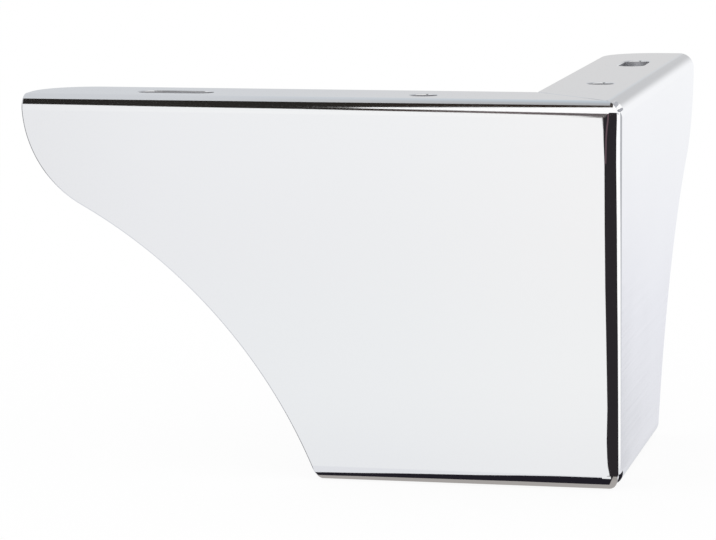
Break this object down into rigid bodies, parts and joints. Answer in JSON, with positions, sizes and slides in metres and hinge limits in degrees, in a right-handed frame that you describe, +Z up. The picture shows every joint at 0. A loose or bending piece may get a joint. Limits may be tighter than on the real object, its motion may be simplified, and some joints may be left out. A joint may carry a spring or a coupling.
{
  "type": "sofa leg",
  "caption": "Corner sofa leg folded from chrome-plated steel sheet: S-curved wings at a right angle, a drilled and slotted screw flange on top and a folded foot.",
  "frame": {"origin": "on the floor, below the middle of the leg's bounding box", "axes": "+Z up to the mounting face, -X and +Y along the two wings from their outer corner"},
  "size_m": [0.15, 0.15, 0.095],
  "materials": {
    "chrome_plated_steel": "polished and chrome plated"
  },
  "bodies": {
    "root": {"folded_leg": "chrome_plated_steel"}
  },
  "joints": []
}
